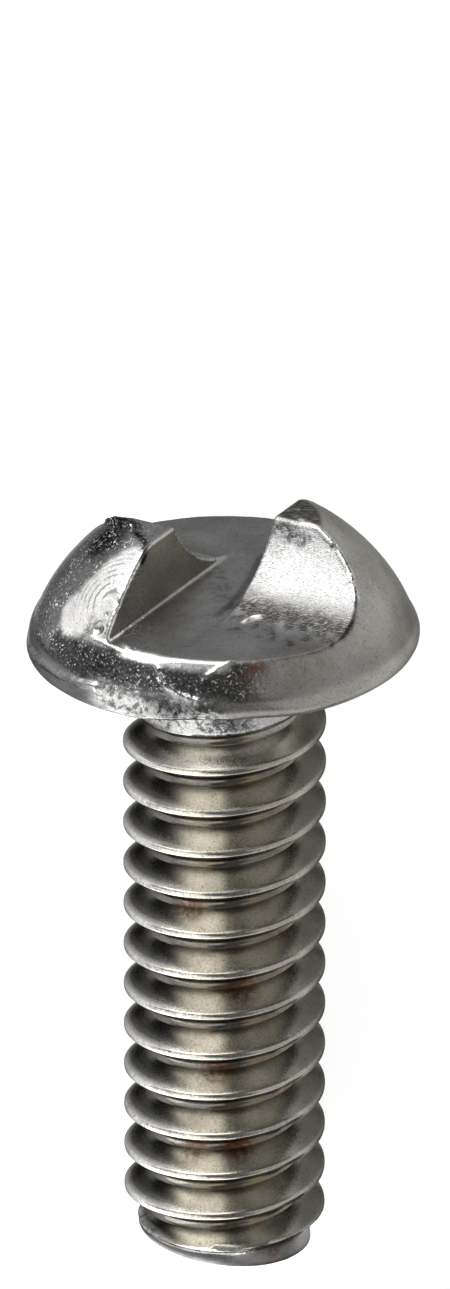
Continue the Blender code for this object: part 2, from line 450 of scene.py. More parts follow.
def rim_distance(radial, z):
    """The rim, whose side bulges outwards in an arc."""
    half = RIM_THICKNESS / 2
    arc_radius = (half**2 + RIM_BULGE**2) / (2 * RIM_BULGE)
    bead = np.hypot(np.maximum(radial - HEAD_RADIUS + arc_radius, 0.0), z - half) - arc_radius
    return np.maximum(bead, np.abs(z - half) - half)


def head_distance(p):
    """Distance to the head's surface, in millimetres and negative inside."""
    x, y, z = p[..., 0], p[..., 1], p[..., 2]
    radial = np.hypot(x, y)
    dome = np.hypot(radial, z - DOME_CENTRE) - DOME_RADIUS
    metal, edge = recess_distance(x, y, z)
    solid = filleted_join(rounded_corner(dome, metal, edge), rim_distance(radial, z), CREASE_FILLET)
    right = share(x, -2.0, 4.0)
    front = (1.0 - share(np.abs(x), 0.5, 2.2)) * share(-y, 0.0, 2.0)
    bearing_edge = BEARING_EDGE + BEARING_EDGE_RIGHT * right + BEARING_EDGE_FRONT * front
    return rounded_corner(solid, BEARING_SLOPE * x - z, bearing_edge)


def crossings(values, axis):
    """Where grid edges along one axis cross the surface, how far along each, and which start inside."""
    first = np.take(values, range(values.shape[axis] - 1), axis)
    second = np.take(values, range(1, values.shape[axis]), axis)
    crossed = (first < 0) != (second < 0)
    part = np.where(crossed, first / np.where(crossed, first - second, 1.0), 0.0)
    return crossed, part, first < 0


def crossing_sums(edges, cells):
    """For each cell, the sum of the crossings on its twelve edges, as places within it, and their number."""
    total = np.zeros(cells + (3,))
    count = np.zeros(cells)
    for axis, (crossed, part, _) in enumerate(edges):
        others = [i for i in range(3) if i != axis]
        for first in (0, 1):
            for second in (0, 1):
                window = [slice(0, n) for n in cells]
                window[others[0]] = slice(first, first + cells[others[0]])
                window[others[1]] = slice(second, second + cells[others[1]])
                here = crossed[tuple(window)]
                count += here
                total[..., axis] += np.where(here, part[tuple(window)], 0.0)
                total[..., others[0]] += here * first
                total[..., others[1]] += here * second
    return total, count


def net_faces(edges, number, cells):
    """A quad across each crossed grid edge, through the points of the four cells around it."""
    faces = []
    for axis, (crossed, _, starts_inside) in enumerate(edges):
        a, b = (axis + 1) % 3, (axis + 2) % 3
        at = np.stack(np.nonzero(crossed), axis=-1)
        at = at[(at[:, a] > 0) & (at[:, b] > 0) & (at[:, a] < cells[a]) & (at[:, b] < cells[b])]
        ring = []
        for back_a, back_b in ((1, 1), (0, 1), (0, 0), (1, 0)):
            cell = at.copy()
            cell[:, a] -= back_a
            cell[:, b] -= back_b
            ring.append(number[tuple(cell.T)])
        quads = np.stack(ring, axis=-1)
        leaving = starts_inside[tuple(at.T)]
        faces.append(quads[leaving])
        faces.append(quads[~leaving][:, ::-1])
    return np.concatenate(faces)


def surface_net(distance, low, high, step):
    """A closed mesh of quads on the surface: one point in each cell that it crosses."""
    axes = [np.arange(low[i], high[i] + step, step) for i in range(3)]
    values = distance(np.stack(np.meshgrid(*axes, indexing="ij"), axis=-1))
    cells = tuple(n - 1 for n in values.shape)
    edges = [crossings(values, axis) for axis in range(3)]
    total, count = crossing_sums(edges, cells)
    used = count > 0
    number = np.full(cells, -1)
    number[used] = np.arange(used.sum())
    corner = np.stack(np.nonzero(used), axis=-1)
    points = (corner + total[used] / count[used][:, None]) * step + np.array(low)
    return points, net_faces(edges, number, cells)


def slope_of(points, distance, reach=0.004):
    """How fast the distance grows along each axis."""
    slope = np.zeros_like(points)
    for axis in range(3):
        step = np.zeros(3)
        step[axis] = reach
        slope[:, axis] = (distance(points + step) - distance(points - step)) / (2 * reach)
    return slope


def settle(points, distance, rounds=4, least_slope=0.05):
    """Moves points onto the surface, along the slope of the distance."""
    for _ in range(rounds):
        slope = slope_of(points, distance)
        steepness = np.maximum((slope**2).sum(1), least_slope)
        points = points - slope * (distance(points) / steepness)[:, None]
    return points


def outward(points, distance):
    """The surface's outward direction at each point."""
    slope = slope_of(points, distance)
    return slope / np.linalg.norm(slope, axis=1)[:, None]


def end_height(x):
    """The sheared end leans: lower on the right."""
    return -SHANK_LENGTH - END_DROP - END_SLOPE * x


def above_band(x, z):
    """Height above the sheared band, which is taller on the right."""
    return z - end_height(x) - BAND_HEIGHT - BAND_SLOPE * x


def end_chamfer(x, z):
    """The radius that the leaning end's chamfer leaves, above its sheared band."""
    return END_RADIUS + np.maximum(above_band(x, z), 0.0) * math.tan(math.radians(END_CHAMFER))


def blank_radius(x, z):
    """The shank before its thread: neck fillet, neck, cone, crest and chamfer."""
    flare = NECK_RADIUS + NECK_FILLET - np.sqrt(
        np.maximum(NECK_FILLET**2 - (np.clip(z, -NECK_FILLET, 0.0) + NECK_FILLET) ** 2, 0.0)
    )
    slope = (THREAD_RADIUS - NECK_RADIUS) / NECK_CONE
    cone = NECK_RADIUS + np.clip((-NECK_LENGTH - z) * slope, 0.0, THREAD_RADIUS - NECK_RADIUS)
    return np.minimum(np.where(z > -NECK_LENGTH, flare, cone), end_chamfer(x, z))


def groove_radius(azimuth, offset):
    """The thread's groove: a rounded root, two flanks, and a rise out of the neck behind it."""
    root_half = (PITCH - CREST_FLAT) / 2 - THREAD_DEPTH * FLANK
    flank = np.maximum(np.abs(offset) - root_half, 0.0) / FLANK
    rounded = np.hypot(flank, ROOT_ROUND) - ROOT_ROUND * (1.0 - share(np.abs(offset), 0.0, 0.3))
    rise = np.clip((azimuth - RUN_OUT_START) / (RUN_OUT_END - RUN_OUT_START), 0.0, 1.0)
    return ROOT_RADIUS + rounded + THREAD_DEPTH * rise**2


def thread_columns():
    """Distances from the groove's middle, closer together at the root and at the crest."""
    half = [0.0, 0.05, 0.09, 0.13, 0.2, 0.28, 0.36, 0.42, 0.445, 0.463, 0.48, 0.505, PITCH / 2]
    return np.array([-d for d in half[:0:-1]] + half)


def strip_azimuths():
    """The azimuths of the strip's steps, from past the end up into the head."""
    last = GROOVE_AZIMUTH + 360 * (TURNS_IN_HEAD + (INSIDE_HEAD - GROOVE_HEIGHT) / PITCH)
    first = GROOVE_AZIMUTH - 360 * (TURNS_PAST_END + (SHANK_LENGTH + GROOVE_HEIGHT) / PITCH)
    turns = math.ceil((last - first) / 360)
    return first + np.arange(turns * TURN_STEPS + 1) * 360 / TURN_STEPS


def shank_mesh():
    """One strip that winds down the shank, a pitch wide. Past the end it turns in to close it."""
    columns = thread_columns()
    azimuth = strip_azimuths()
    middle = GROOVE_HEIGHT + PITCH * (azimuth - GROOVE_AZIMUTH) / 360
    height = middle[:, None] + columns[None, :]
    angle = np.radians(azimuth)[:, None] + 0 * height
    edge_x = END_RADIUS * np.cos(angle)
    low = end_height(edge_x)
    beyond = np.maximum(low - height, 0.0)
    z = np.clip(height, low, INSIDE_HEAD)
    groove = groove_radius(azimuth[:, None], columns[None, :] + (z - height))
    groove = np.maximum(groove, END_RADIUS * share(-above_band(edge_x, z), -0.08, 0.04))
    radius = softer_minimum(blank_radius(edge_x, z), groove, CREST_EDGE)
    radius = radius * (1.0 - (1.0 - END_HOLE) * share(beyond, 0.0, CLOSING_PITCHES * PITCH))
    x = radius * np.cos(angle)
    y = radius * np.sin(angle)
    z = np.where(beyond > 0, end_height(x), z)
    points = np.stack([x, y, z], axis=-1).reshape(-1, 3)
    wide = len(columns)
    i, j = np.meshgrid(np.arange(len(azimuth) - 1), np.arange(wide - 1), indexing="ij")
    corner = (i * wide + j).ravel()
    faces = np.stack([corner, corner + wide, corner + wide + 1, corner + 1], axis=-1)
    return points, faces


def view_axes():
    """The photograph's upward direction and the direction to its camera, for the upright screw."""
    e = math.radians(LOOK_DOWN)
    return np.array([0.0, math.sin(e), math.cos(e)]), np.array([0.0, -math.cos(e), math.sin(e)])


def seen_at(pixels, distance, rounds=60, start=8.0):
    """The points of a surface that the photograph shows at these pixels."""
    up, back = view_axes()
    pixels = np.array(pixels, dtype=float).reshape(-1, 2)
    across = (pixels[:, 0] - AXIS_PIXEL) * MM_PER_PIXEL
    height = (BEARING_PIXEL - pixels[:, 1]) * MM_PER_PIXEL
    points = across[:, None] * np.array([1.0, 0.0, 0.0]) + height[:, None] * up + start * back
    for _ in range(rounds):
        points = points - distance(points)[:, None] * back
    return points


def rod_distance(radius):
    """The distance to a plain rod of this radius, as a function of points."""
    return lambda points: np.hypot(points[:, 0], points[:, 1]) - radius


def stain_and_shade_surface(pixel):
    """The surface that a stain or the patch of painted shade at this pixel lies on: the head, the thread's
    root or the end's band.
    """
    if pixel[1] < HEAD_BOTTOM_PIXEL:
        return head_distance
    if pixel[1] < END_TOP_PIXEL:
        return rod_distance(ROOT_RADIUS)
    return rod_distance(END_RADIUS)


def spot(points, centre, radius):
    """1 at a centre, falling smoothly to 0 at this radius."""
    return 1.0 - share(np.linalg.norm(points - centre, axis=-1), 0.3 * radius, radius)


def strongest_spot(points, spots):
    """The strongest of some spots of the head, each with its pixel and radius."""
    strongest = np.zeros(len(points))
    for pixel, radius in spots:
        strongest = np.maximum(strongest, spot(points, seen_at(pixel, head_distance)[0], radius))
    return strongest


def near_line(points, pixels, width):
    """1 on the head's line through these pixels, falling smoothly to 0 at this width."""
    corners = seen_at(pixels, head_distance)
    nearest = np.full(len(points), np.inf)
    for start, end in zip(corners, corners[1:]):
        along = end - start
        t = np.clip((points - start) @ along / (along @ along), 0.0, 1.0)
        nearest = np.minimum(nearest, np.linalg.norm(points - start - t[:, None] * along, axis=-1))
    return 1.0 - share(nearest, 0.2 * width, width)


def lumps(points, size, offset=0.0):
    """Smooth noise between about -1 and 1, with lumps of this size."""
    shift = Vector((offset, 2 * offset, 3 * offset))
    return np.array([noise.noise(Vector(p) / size + shift) for p in points])


def layered_lumps(points, layers):
    """Some layers of lumps together, each with its size, height and offset."""
    return sum(height * lumps(points, size, offset) for size, height, offset in layers)


def lower_rim_share(points):
    """1 on the rough front left of the rim."""
    x, y, z = points.T
    beside = share(-x, -0.3, 0.5) * (1.0 - share(-x, 2.8, 3.3)) * share(-y, 0.5, 1.5)
    return beside * (1.0 - share(z, 0.45, 0.75)) * share(z, 0.02, 0.12) * share(np.hypot(x, y), 3.5, 4.0)


def pitted_share(points):
    """1 in the pitted band along the front of the dome, which fades out at both ends."""
    band = near_line(points, PITTED_BAND, PITTED_WIDTH) + 0.15 * lumps(points, 0.25, 6.0)
    ends = share(points[:, 0], -4.35, -3.7) * (1.0 - share(points[:, 0], 0.3, 1.2))
    return share(band, 0.15, 0.5) * ends


def head_relief(points):
    """How far the real head stands proud of its plain form, or falls short of it."""
    rise = layered_lumps(points, HEAD_LUMPS)
    for pixel, radius, depth in DENTS.values():
        rise -= depth * spot(points, seen_at(pixel, head_distance)[0], radius)
    for pixels, width, height in FOLDS.values():
        rise += height * near_line(points, pixels, width)
    rise += layered_lumps(points, ROUGH_RIM_LUMPS) * lower_rim_share(points)
    rise += layered_lumps(points, PITTED_LUMPS) * pitted_share(points)
    return rise


def burr(points):
    """The ragged burr that stands up along the left horn's top."""
    ragged = 0.6 + 0.8 * np.abs(lumps(points, 0.1, 7.0))
    rise = BURR_RISE * near_line(points, BURR_LINE, BURR_WIDTH) * ragged
    return rise[:, None] * np.array(BURR_LEAN)


def placed_object(name, data):
    """A new object in the scene."""
    item = bpy.data.objects.new(name, data)
    bpy.context.scene.collection.objects.link(item)
    return item


def closed_object(name, points, faces):
    """A closed object, with coinciding points merged and open ends filled."""
    mesh = bpy.data.meshes.new(name)
    mesh.from_pydata([tuple(p) for p in points], [], [tuple(f) for f in faces])
    shape = bmesh.new()
    shape.from_mesh(mesh)
    bmesh.ops.remove_doubles(shape, verts=shape.verts, dist=MERGE_REACH)
    bmesh.ops.holes_fill(shape, edges=[edge for edge in shape.edges if edge.is_boundary])
    shape.to_mesh(mesh)
    shape.free()
    return placed_object(name, mesh)


def head_object():
    """The head, with its relief and its burr."""
    reach = HEAD_RADIUS + HEAD_MARGIN
    low = (-reach, -reach, -BELOW_HEAD)
    high = (reach, reach, HEAD_HEIGHT + HEAD_MARGIN)
    points, faces = surface_net(head_distance, low, high, HEAD_STEP)
    points = settle(points, head_distance)
    out = outward(points, head_distance)
    points = points + out * head_relief(points)[:, None] + burr(points)
    return closed_object("screw_head", points, faces)


def joined(item, other):
    """Both as one closed body."""
    union = item.modifiers.new("join", "BOOLEAN")
    union.operation = "UNION"
    union.solver = "MANIFOLD"
    union.object = other
    bpy.context.view_layer.update()
    graph = bpy.context.evaluated_depsgraph_get()
    mesh = bpy.data.meshes.new_from_object(item.evaluated_get(graph))
    item.modifiers.clear()
    item.data = mesh
    bpy.data.objects.remove(other, do_unlink=True)
    return item


def laying_turn(size):
    """The turn that lays the upright screw down, as a matrix of this size."""
    return Matrix.Rotation(math.radians(REST_TILT - 90.0), size, "X")


def lay_down(mesh):
    """Moves an upright mesh in millimetres to where it lies on the floor, in metres."""
    mesh.transform(Matrix.Translation(Vector(BEARING_FACE) * MM) @ laying_turn(4) @ Matrix.Scale(MM, 4))


def laid_down(upright):
    """Where a point of the upright screw lies, in millimetres."""
    return laying_turn(3) @ Vector(upright) + Vector(BEARING_FACE)


def shank_zones(points):
    """Shares of the threads, the neck and the sheared end."""
    x, y, z = points.T
    radial = np.hypot(x, y)
    side = x / THREAD_RADIUS
    threaded = 1.0 - share(z, -NECK_LENGTH - 0.3, -NECK_LENGTH)
    crest = threaded * share(radial, THREAD_RADIUS - 0.08, THREAD_RADIUS - 0.02)
    on_band = 1.0 - share(above_band(x, z), -0.02, 0.05)
    band_edge = 1.0 - share(np.abs(above_band(x, z) - 0.05), 0.03, 0.08)
    return {
        # Painted highlight: brighter threads left of the middle
        "thread, left of the middle": threaded * share(x, -1.0, -0.5) * (1.0 - share(x, -0.15, 0.05)),
        # Painted shade: darker threads at the far right and the far left
        "thread, far right": share(side, 0.5, 0.8) * share(-y, -1.2, -0.2),
        "thread, far left": share(-side, 0.42, 0.7) * (1.0 - 0.9 * share(radial, 2.2, 2.36)),
        # Painted shade on the crests' grazing sides, and a painted highlight on the crests on the left
        "crest": crest * (1.0 - 0.8 * share(np.abs(side), 0.7, 0.95)),
        "crest, left": crest * share(-x, 0.0, 0.8) * (1.0 - 0.8 * share(-side, 0.85, 0.97)),
        # Painted shade in the thread's roots
        "root": threaded * (1.0 - share(radial, ROOT_RADIUS + 0.03, ROOT_RADIUS + 0.12)),
        "neck": share(z, -1.6, -1.45) * share(radial, 1.88, 2.0) * (1.0 - share(x, 0.2, 1.2)),
        # Painted shade: the band is darker on the left than on the right
        "end band": on_band,
        "end band, right": on_band * share(x, 0.0, 0.9),
        "end": 1.0 - share(z - end_height(x), 0.03, 0.09),
        "edge of the band": band_edge * share(lumps(points, 0.15, 3.0), -0.4, 0.1),
    }


def on_head(z):
    """1 on the head and 0 on the shank."""
    return share(z, -0.06, 0.0)


def head_zones(points, normals, ragged):
    """Shares of the rim and the dome, and of the parts of the dome."""
    x, y, z = points.T
    dome = on_head(z) * share(z, RIM_THICKNESS - 0.05, RIM_THICKNESS + 0.12)
    rough_rim = lower_rim_share(points)
    # Painted shade in the crease above the front left of the rim
    crease = 1.0 - share(np.abs(z - RIM_THICKNESS - 0.02), 0.02, 0.08)
    crease *= share(np.hypot(x, y), 4.15, 4.35) * share(-x, -2.5, 0.5) * share(-y, 0.0, 1.5)
    lip = near_line(points, RECESS_LIP, RECESS_LIP_WIDTH)
    pitted = dome * pitted_share(points) * (1.0 - lip)
    polished = strongest_spot(points, POLISHED_SPOTS.values())
    polished = share(polished + 1.5 * ragged + 0.15 * lumps(points, 0.09, 8.0), 0.1, 0.6)
    return {
        "rim": on_head(z),
        # Painted shade: the rim is darker on the left
        "rim, left": on_head(z) * share(-x, 2.4, 3.4),
        "underside": share(-normals[:, 2], 0.8, 0.95) * share(z, -0.2, -0.15),
        "right dome": dome,
        "right dome, low": dome * (1.0 - share(z, 0.8, 1.7)),
        "far dome": dome * share(y, 1.5, 3.0),
        # Painted shade: the dome is darker on the left and at its left edge
        "left dome": dome * share(-x + ragged, 1.4, 2.4),
        "left edge": dome * share(-x, 2.9, 4.1),
        # Painted shade below the burr
        "below the burr": dome * strongest_spot(points, [(BELOW_BURR, BELOW_BURR_REACH)]),
        "pitted": pitted,
        "pitted, left": pitted * share(-x, 2.4, 3.2),
        "crease": crease,
        "rim, rough": rough_rim,
        "rim, rough, right": rough_rim * share(x, -2.3, -1.3),
        "polished": dome * polished,
        "lip of the recess": dome * lip,
    }


def horn_zones(points, normals):
    """Shares of the ramps and of the drive walls."""
    x, y, z = points.T
    ramp = np.zeros(len(points))
    wall = np.zeros(len(points))
    for turned in (WALL_AZIMUTH, WALL_AZIMUTH + 180):
        along, across = along_and_across(x, y, turned)
        behind = share(across, WALL_OFFSET - 0.05, WALL_OFFSET + 0.03)
        on_arc = 1.0 - share(np.abs(ramp_arc(along, z)), 0.04, 0.10)
        ramp = np.maximum(ramp, on_arc * share(along, -RAMP_SETBACK, -RAMP_SETBACK + 0.15) * behind)
        _, facing = along_and_across(normals[:, 0], normals[:, 1], turned)
        near = 1.0 - share(np.abs(across - WALL_OFFSET), 0.03, 0.08)
        wall = np.maximum(wall, near * share(-facing, 0.75, 0.95))
    return ramp, wall * share(z, FLOOR_HEIGHT + 0.02, FLOOR_HEIGHT + 0.08)


def recess_zones(points, normals, ragged):
    """Shares of the recess's floor, drive walls and ramps, and of the horns' tops."""
    x, y, z = points.T
    ramp, wall = horn_zones(points, normals)
    flat = share(normals[:, 2], 0.90, 0.99) * on_head(z)
    top = flat * share(z, HEAD_HEIGHT - 0.12, HEAD_HEIGHT - 0.06)
    on_floor = flat * (1.0 - share(np.abs(z - FLOOR_HEIGHT), 0.08, 0.16))
    scratched = near_line(points, SCRATCHED_FLOOR, SCRATCHED_WIDTH)
    scratched *= share(lumps(points, 0.12, 1.0), -0.3, 0.4)
    pits = near_line(points, RAMP_PITS, RAMP_PITS_WIDTH) + 2.0 * ragged
    return {
        # Painted shade on the recess's floor
        "recess floor": on_floor,
        "drive wall": wall,
        # Painted shade at the foot of the ramps
        "ramp foot": ramp * share(-y, -0.3, 0.3) * share(z + ragged, FLOOR_HEIGHT, FLOOR_HEIGHT + 0.12),
        "ramp": ramp * share(z + 0.5 * ragged, FLOOR_HEIGHT + 0.2, FLOOR_HEIGHT + 0.5),
        "ramp's pits": share(pits, 0.25, 1.0),
        "left facet": top * share(-x, -0.1, 0.1),
        # Painted shade: the right horn's top is darker than the left one's
        "right facet": top * share(x, -0.1, 0.1),
        "burr": near_line(points, BURR_LINE, 1.3 * BURR_WIDTH),
        "scratched floor": on_floor * scratched,
    }


def damage_zones(points, ragged):
    """Shares of the head's bright folds, partly painted highlight, and of its dents and lines painted dark
    as shade and shadow.
    """
    folds = np.zeros(len(points))
    for name in BRIGHT_FOLDS:
        pixels, width, _ = FOLDS[name]
        folds = np.maximum(folds, near_line(points, pixels, width))
    lines = np.zeros(len(points))
    for pixels, strength in DARK_LINES.values():
        line = near_line(points, pixels, DARK_LINE_WIDTH)
        lines = np.maximum(lines, strength * share(line + ragged, 0.1, 0.7))
    return {
        "bright folds": folds * share(lumps(points, 0.08, 2.5), -0.5, 0.2),
        "dark dents": strongest_spot(points, [DENTS[name][:2] for name in DARK_DENTS]),
        "dark lines": lines,
    }


def zone_shares(points, normals):
    """How far each point belongs to each zone, from 0 to 1, later zones over earlier ones."""
    ragged = RAGGED_EDGE * lumps(points, 0.2, 4.0)
    return {
        **shank_zones(points),
        **head_zones(points, normals, ragged),
        **recess_zones(points, normals, ragged),
        **damage_zones(points, ragged),
    }


def tone_masks(points, shares):
    """Each point's reflectance and roughness, from its zones."""
    x, _, z = points.T
    reflectance, roughness = (np.full(len(points), value) for value in ZONES["thread"])
    for name, part in shares.items():
        reflectance += part * (ZONES[name][0] - reflectance)
        roughness += part * (ZONES[name][1] - roughness)
    # Painted shade: the threads are darker just right of the middle
    beside = share(x, 0.0, 0.2) * (1.0 - share(x, 1.0, 1.6))
    below_neck = 1.0 - share(z, -NECK_LENGTH - 0.1, -NECK_LENGTH)
    reflectance *= 1.0 - SHADE_RIGHT_OF_MIDDLE * beside * below_neck
    return {"reflectance": reflectance, "roughness": roughness}


def stain_and_shade_mask(points):
    """How strongly each point is browned by the stains and by the painted shade in the rim's hollow."""
    stain = np.zeros(len(points))
    for pixel, radius, strength in STAINS_AND_SHADE.values():
        place = seen_at(pixel, stain_and_shade_surface(pixel))[0]
        stain = np.maximum(stain, strength * spot(points, place, radius))
    return stain


def texture_masks(points, shares):
    """Where each texture of the steel shows, and where glints and shade in crevices are painted."""
    x, y, z = points.T
    neck = shares["neck"] * (1.0 - share(z, -0.1, 0.05))
    foot = shares["ramp foot"] * (1.0 - share(z, FLOOR_HEIGHT + 0.35, FLOOR_HEIGHT + 0.6))
    # Painted glints on the crests on the left, and rough pits there with painted shade in them
    crest_glints_and_pits = 0.35 * shares["crest, left"]
    # Painted glints on the scratches of the left of the dome
    dome_scratch_glints = shares["left dome"] * (1.0 - shares["polished"])
    rough = [shares[name] for name in ("rim, rough", "burr", "edge of the band", "ramp's pits")]
    warm_shank = (1.0 - share(z, -NECK_LENGTH - 0.2, -NECK_LENGTH + 0.1)) * (1.0 - shares["end band"])
    warm_shank *= 1.0 - 0.7 * share(-x, 1.0, 1.9)
    plain_dome = np.maximum(shares["right dome"], shares["rim"]) * share(x, -1.0, 0.5)
    plain_dome *= (1.0 - shares["ramp"]) * (1.0 - shares["recess floor"])
    front_root = shares["root"] * share(x, -1.3, -0.2) * share(-y, 0.0, 1.0)
    return {
        "pitted": np.maximum(shares["pitted"], 0.4 * shares["left dome"]),
        # Painted glints: bright specks in the steel's colour
        "glinting": np.max([shares["pitted"], dome_scratch_glints, crest_glints_and_pits], axis=0),
        # Rough places: their relief, and painted shade in their crevices
        "rough": np.max(rough + [neck, crest_glints_and_pits], axis=0),
        "warm": np.max([warm_shank, 0.55 * plain_dome, 0.8 * shares["drive wall"]], axis=0),
        "spotted": plain_dome,
        "wrinkled": np.maximum(0.6 * foot, 0.7 * shares["right facet"]),
        "brushed": np.maximum(shares["drive wall"], 0.5 * shares["recess floor"]),
        "forged": shares["polished"] * strongest_spot(points, [(RING_MIDDLE, RING_REACH)]),
        "ramp": shares["ramp"],
        "tinted": front_root * share(above_band(x, z), 0.1, 0.3),
    }


def read_mesh(mesh, name):
    """The mesh's places or normals, three values for each point."""
    values = np.zeros(len(mesh.vertices) * 3, dtype=np.float32)
    mesh.vertices.foreach_get(name, values)
    return values.reshape(-1, 3).astype(float)


def set_mask(mesh, name, values):
    """Keeps a share for each point on the mesh, evened out with the points next to it."""
    ends = np.zeros(len(mesh.edges) * 2, dtype=np.int32)
    mesh.edges.foreach_get("vertices", ends)
    first, second = ends.reshape(-1, 2).T
    size = len(mesh.vertices)
    count = np.bincount(first, minlength=size) + np.bincount(second, minlength=size)
    total = np.bincount(first, values[second], size) + np.bincount(second, values[first], size)
    even = (values + total / np.maximum(count, 1)) / 2
    layer = mesh.attributes.new(name, "FLOAT", "POINT")
    layer.data.foreach_set("value", np.clip(even, 0.0, 1.0).astype(np.float32))


def mark_zones(mesh):
    """Keeps on the upright mesh what the material needs to know of its zones."""
    points = read_mesh(mesh, "co")
    shares = zone_shares(points, read_mesh(mesh, "normal"))
    masks = tone_masks(points, shares)
    # This mask holds the stains and also the painted shade in the rim's hollow
    masks["stain"] = stain_and_shade_mask(points)
    masks.update(texture_masks(points, shares))
    for name, values in masks.items():
        set_mask(mesh, name, values)


class Nodes:
    """Short ways to add nodes to a tree."""

    def __init__(self, tree):
        self.tree = tree

    def fill(self, node, inputs):
        """Links the inputs that are sockets and sets the ones that are values."""
        for name, value in inputs.items():
            if isinstance(value, bpy.types.NodeSocket):
                self.tree.links.new(value, node.inputs[name])
            else:
                node.inputs[name].default_value = value

    def add(self, kind, inputs, output=0, **settings):
        """A new node, of which this gives one output."""
        node = self.tree.nodes.new(kind)
        for name, value in settings.items():
            setattr(node, name, value)
        self.fill(node, inputs)
        return node.outputs[output]

    def mask(self, name):
        """A share kept on the mesh."""
        return self.add("ShaderNodeAttribute", {}, "Fac", attribute_name=name)

    def noise(self, place, size, detail):
        inputs = {"Vector": place, "Scale": 1.0 / size, "Detail": detail, "Roughness": 0.6}
        return self.add("ShaderNodeTexNoise", inputs, "Fac")

    def cells(self, place, per_mm):
        """The distance to the middle of the nearest cell."""
        return self.add("ShaderNodeTexVoronoi", {"Vector": place, "Scale": per_mm}, "Distance")

    def calculate(self, operation, first, second=0.0):
        return self.add("ShaderNodeMath", {0: first, 1: second}, operation=operation)

    def times(self, first, second):
        return self.calculate("MULTIPLY", first, second)

    def plus(self, first, second):
        return self.calculate("ADD", first, second)

    def darken(self, tone, part):
        """The tone without this part of it."""
        return self.times(tone, self.calculate("SUBTRACT", 1.0, part))

    def remap(self, value, low, high, to_low=0.0, to_high=1.0):
        """What lies between low and high goes smoothly between two other values."""
        inputs = {"Value": value, "From Min": low, "From Max": high, "To Min": to_low, "To Max": to_high}
        return self.add("ShaderNodeMapRange", inputs, interpolation_type="SMOOTHSTEP")

    def blend(self, part, first, second):
        """The first colour, with this part of the second."""
        return self.add("ShaderNodeMix", {0: part, 6: first, 7: second}, 2, data_type="RGBA")

    def scale(self, vector, by):
        return self.add("ShaderNodeVectorMath", {0: vector, 3: by}, operation="SCALE")


def grey(level):
    """A grey of this level, as a colour."""
    return (level, level, level, 1.0)


def new_material(name):
    """A material, its nodes and its shader."""
    material = bpy.data.materials.new(name)
    material.use_nodes = True
    return material, Nodes(material.node_tree), material.node_tree.nodes["Principled BSDF"]


def forging_rings(nodes, grid, waver):
    """Rings about their centre, from -1 to 1, which waver a little."""
    place = nodes.add("ShaderNodeVectorMath", {0: grid, 1: nodes.scale(waver, RING_WAVER)}, operation="ADD")
    centre = laid_down(seen_at(RING_CENTRE, head_distance)[0])
    radius = nodes.add("ShaderNodeVectorMath", {0: place, 1: centre}, "Value", operation="DISTANCE")
    return nodes.calculate("SINE", nodes.times(radius, 2 * math.pi / RING_SPACING))


def steel_patterns(nodes):
    """The patterns that the steel's colour, gloss and relief are made of, placed in millimetres."""
    place = nodes.add("ShaderNodeTexCoord", {}, "Object")
    grid = nodes.add("ShaderNodeMapping", {"Vector": place, "Scale": (1 / MM, 1 / MM, 1 / MM)})
    squeezed = nodes.add("ShaderNodeMapping", {"Vector": grid, "Scale": STREAK_SQUEEZE})
    patterns = {name: nodes.noise(grid, *values) for name, values in NOISES.items()}
    patterns["streaks"] = nodes.noise(squeezed, *STREAKS)
    for name, per_mm in CELLS.items():
        patterns[name] = nodes.cells(grid, per_mm)
    patterns["rings"] = forging_rings(nodes, grid, patterns["speck"])
    return patterns


def steel_tone(nodes, patterns):
    """How bright the steel is: the zone's reflectance with clouds, grain and each texture's marks, with
    painted shade in the crevices of rough places and painted glints added.
    """
    cloud, grain, speck, sparkle, patches = (patterns[name] for name in NOISES)
    streaks = patterns["streaks"]
    tone = nodes.times(nodes.mask("reflectance"), nodes.remap(cloud, 0.3, 0.7, 0.88, 1.12))
    tone = nodes.times(tone, nodes.remap(grain, 0.3, 0.7, 0.86, 1.12))
    tone = nodes.darken(tone, nodes.remap(sparkle, 0.33, 0.42, 0.4, 0.0))
    # Painted shade in the crevices of rough places
    crevice_shade = nodes.times(nodes.mask("rough"), nodes.remap(speck, 0.40, 0.52, 0.68, 0.0))
    tone = nodes.darken(tone, crevice_shade)
    wrinkles = nodes.times(nodes.mask("wrinkled"), nodes.remap(streaks, 0.50, 0.66, 0.0, 0.3))
    tone = nodes.plus(tone, wrinkles)
    # Painted glints: bright specks added to the steel's colour
    glints = nodes.remap(sparkle, 0.57, 0.65, 0.0, 0.85)
    glints = nodes.times(glints, nodes.remap(patches, 0.40, 0.62, 0.15, 1.0))
    tone = nodes.plus(tone, nodes.times(nodes.mask("glinting"), glints))
    grooves = nodes.remap(patterns["rings"], 0.3, 1.0, 0.0, 0.6)
    grooves = nodes.times(grooves, nodes.remap(patches, 0.4, 0.55, 0.15, 1.0))
    tone = nodes.darken(tone, nodes.times(grooves, nodes.mask("forged")))
    tone = nodes.darken(tone, nodes.times(nodes.mask("ramp"), nodes.remap(streaks, 0.48, 0.66, 0.0, 0.45)))
    spots = nodes.times(nodes.mask("spotted"), nodes.remap(patterns["dots"], 0.05, 0.13, 0.5, 0.0))
    return nodes.darken(tone, nodes.times(spots, nodes.remap(patches, 0.42, 0.55, 0.1, 1.0)))


